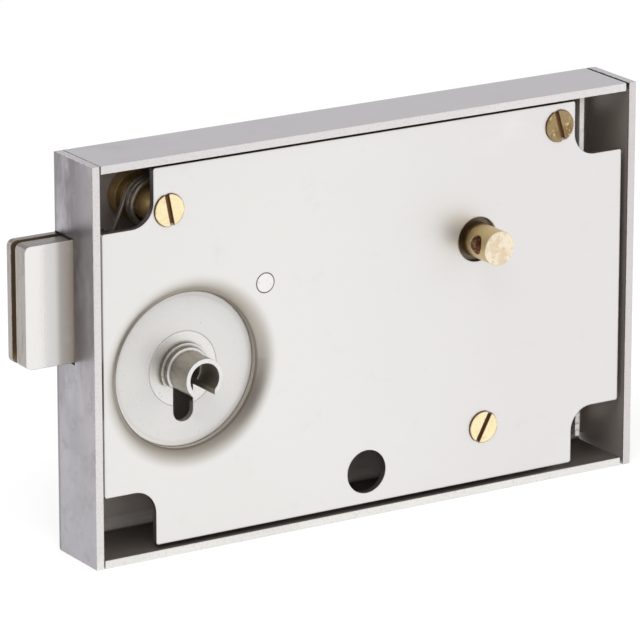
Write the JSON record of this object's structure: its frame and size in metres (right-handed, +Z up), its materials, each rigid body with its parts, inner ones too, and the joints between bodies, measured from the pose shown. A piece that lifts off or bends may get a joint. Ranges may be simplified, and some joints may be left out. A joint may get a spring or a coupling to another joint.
{
  "type": "lever lock",
  "caption": "Surface-mounted lever lock in a folded steel case, with a laminated spring bolt, a rotating key disc with a short tube, and a cross-drilled brass spindle that draws the bolt.",
  "frame": {"origin": "centre of the rectangle of four fixing holes, on the outer face of the case's back", "axes": "+X from the bolt's end towards the far wall, so the bolt points along -X; +Y out of the back into the surface the lock is fixed to, so the cover faces -Y; +Z up"},
  "size_m": [0.1515, 0.0272, 0.09],
  "materials": {
    "case_steel": "fine brushed, folded sheet",
    "cover_steel": "bright brushed sheet",
    "disc_steel": "turned face with a fine circular grain",
    "barrel_steel": "turned, bright end ring",
    "bolt_steel": "ground faces, sheared edges",
    "core_steel": "darker unpolished plate",
    "rivet_steel": "turned",
    "post_steel": "turned",
    "partition_steel": "raw sheet with cut edges",
    "dark_steel": "dark oiled steel",
    "spring_steel": "drawn bright",
    "brass": "turned brass, slightly worn",
    "lever_brass": "stamped brass"
  },
  "bodies": {
    "case": {"case": "case_steel", "cover_plate": "cover_steel", "cover_screws": "brass", "spring_pillar": "brass", "cover_pillars": "brass", "lever_post": "post_steel", "guide_pin": "post_steel", "lever_spring_stud": "post_steel", "partition": "partition_steel", "return_spring": "spring_steel"},
    "bolt": {"bolt_front_plate": "bolt_steel", "bolt_second_plate": "bolt_steel", "bolt_core_plate": "core_steel", "bolt_back_plate": "bolt_steel", "bolt_rivets": "rivet_steel", "bolt_stump": "rivet_steel"},
    "spindle": {"spindle": "brass", "follower": "dark_steel"},
    "key_barrel": {"key_disc": "disc_steel", "key_barrel": "barrel_steel"},
    "lever_1": {"lever_1": "lever_brass", "lever_spring_1": "spring_steel"},
    "lever_2": {"lever_2": "lever_brass", "lever_spring_2": "spring_steel"},
    "lever_3": {"lever_3": "lever_brass", "lever_spring_3": "spring_steel"},
    "lever_4": {"lever_4": "lever_brass", "lever_spring_4": "spring_steel"},
    "lever_5": {"lever_5": "lever_brass", "lever_spring_5": "spring_steel"}
  },
  "joints": [
    {"name": "bolt_slide", "type": "slide", "parent": "case", "child": "bolt", "axis": [1, 0, 0], "range_m": [0, 0.0115], "stiffness_N_per_m": 300, "springref_m": -0.01, "deforming": ["return_spring"]},
    {"name": "spindle_turn", "type": "hinge", "parent": "case", "child": "spindle", "pos_m": [0.0282, -0.019, 0.0144], "axis": [0, -1, 0], "range_deg": [0, 79.5]},
    {"name": "barrel_turn", "type": "hinge", "parent": "case", "child": "key_barrel", "pos_m": [-0.0457, -0.0147, -0.0044], "axis": [0, 1, 0], "continuous": true},
    {"name": "lever_1_lift", "type": "hinge", "parent": "case", "child": "lever_1", "pos_m": [-0.0269, -0.01243, 0.0129], "axis": [0, 1, 0], "range_deg": [0, 9], "stiffness_Nm_per_rad": 0.02, "springref_deg": -20.05, "deforming": ["lever_spring_1"]},
    {"name": "lever_2_lift", "type": "hinge", "parent": "case", "child": "lever_2", "pos_m": [-0.0269, -0.01108, 0.0129], "axis": [0, 1, 0], "range_deg": [0, 9], "stiffness_Nm_per_rad": 0.02, "springref_deg": -20.05, "deforming": ["lever_spring_2"]},
    {"name": "lever_3_lift", "type": "hinge", "parent": "case", "child": "lever_3", "pos_m": [-0.0269, -0.00973, 0.0129], "axis": [0, 1, 0], "range_deg": [0, 9], "stiffness_Nm_per_rad": 0.02, "springref_deg": -20.05, "deforming": ["lever_spring_3"]},
    {"name": "lever_4_lift", "type": "hinge", "parent": "case", "child": "lever_4", "pos_m": [-0.0269, -0.00838, 0.0129], "axis": [0, 1, 0], "range_deg": [0, 9], "stiffness_Nm_per_rad": 0.02, "springref_deg": -20.05, "deforming": ["lever_spring_4"]},
    {"name": "lever_5_lift", "type": "hinge", "parent": "case", "child": "lever_5", "pos_m": [-0.0269, -0.00703, 0.0129], "axis": [0, 1, 0], "range_deg": [0, 9], "stiffness_Nm_per_rad": 0.02, "springref_deg": -20.05, "deforming": ["lever_spring_5"]}
  ],
  "couplings": [
    {"joint": "spindle_turn", "follows": "bolt_slide", "rad_per_m": 120.5}
  ]
}
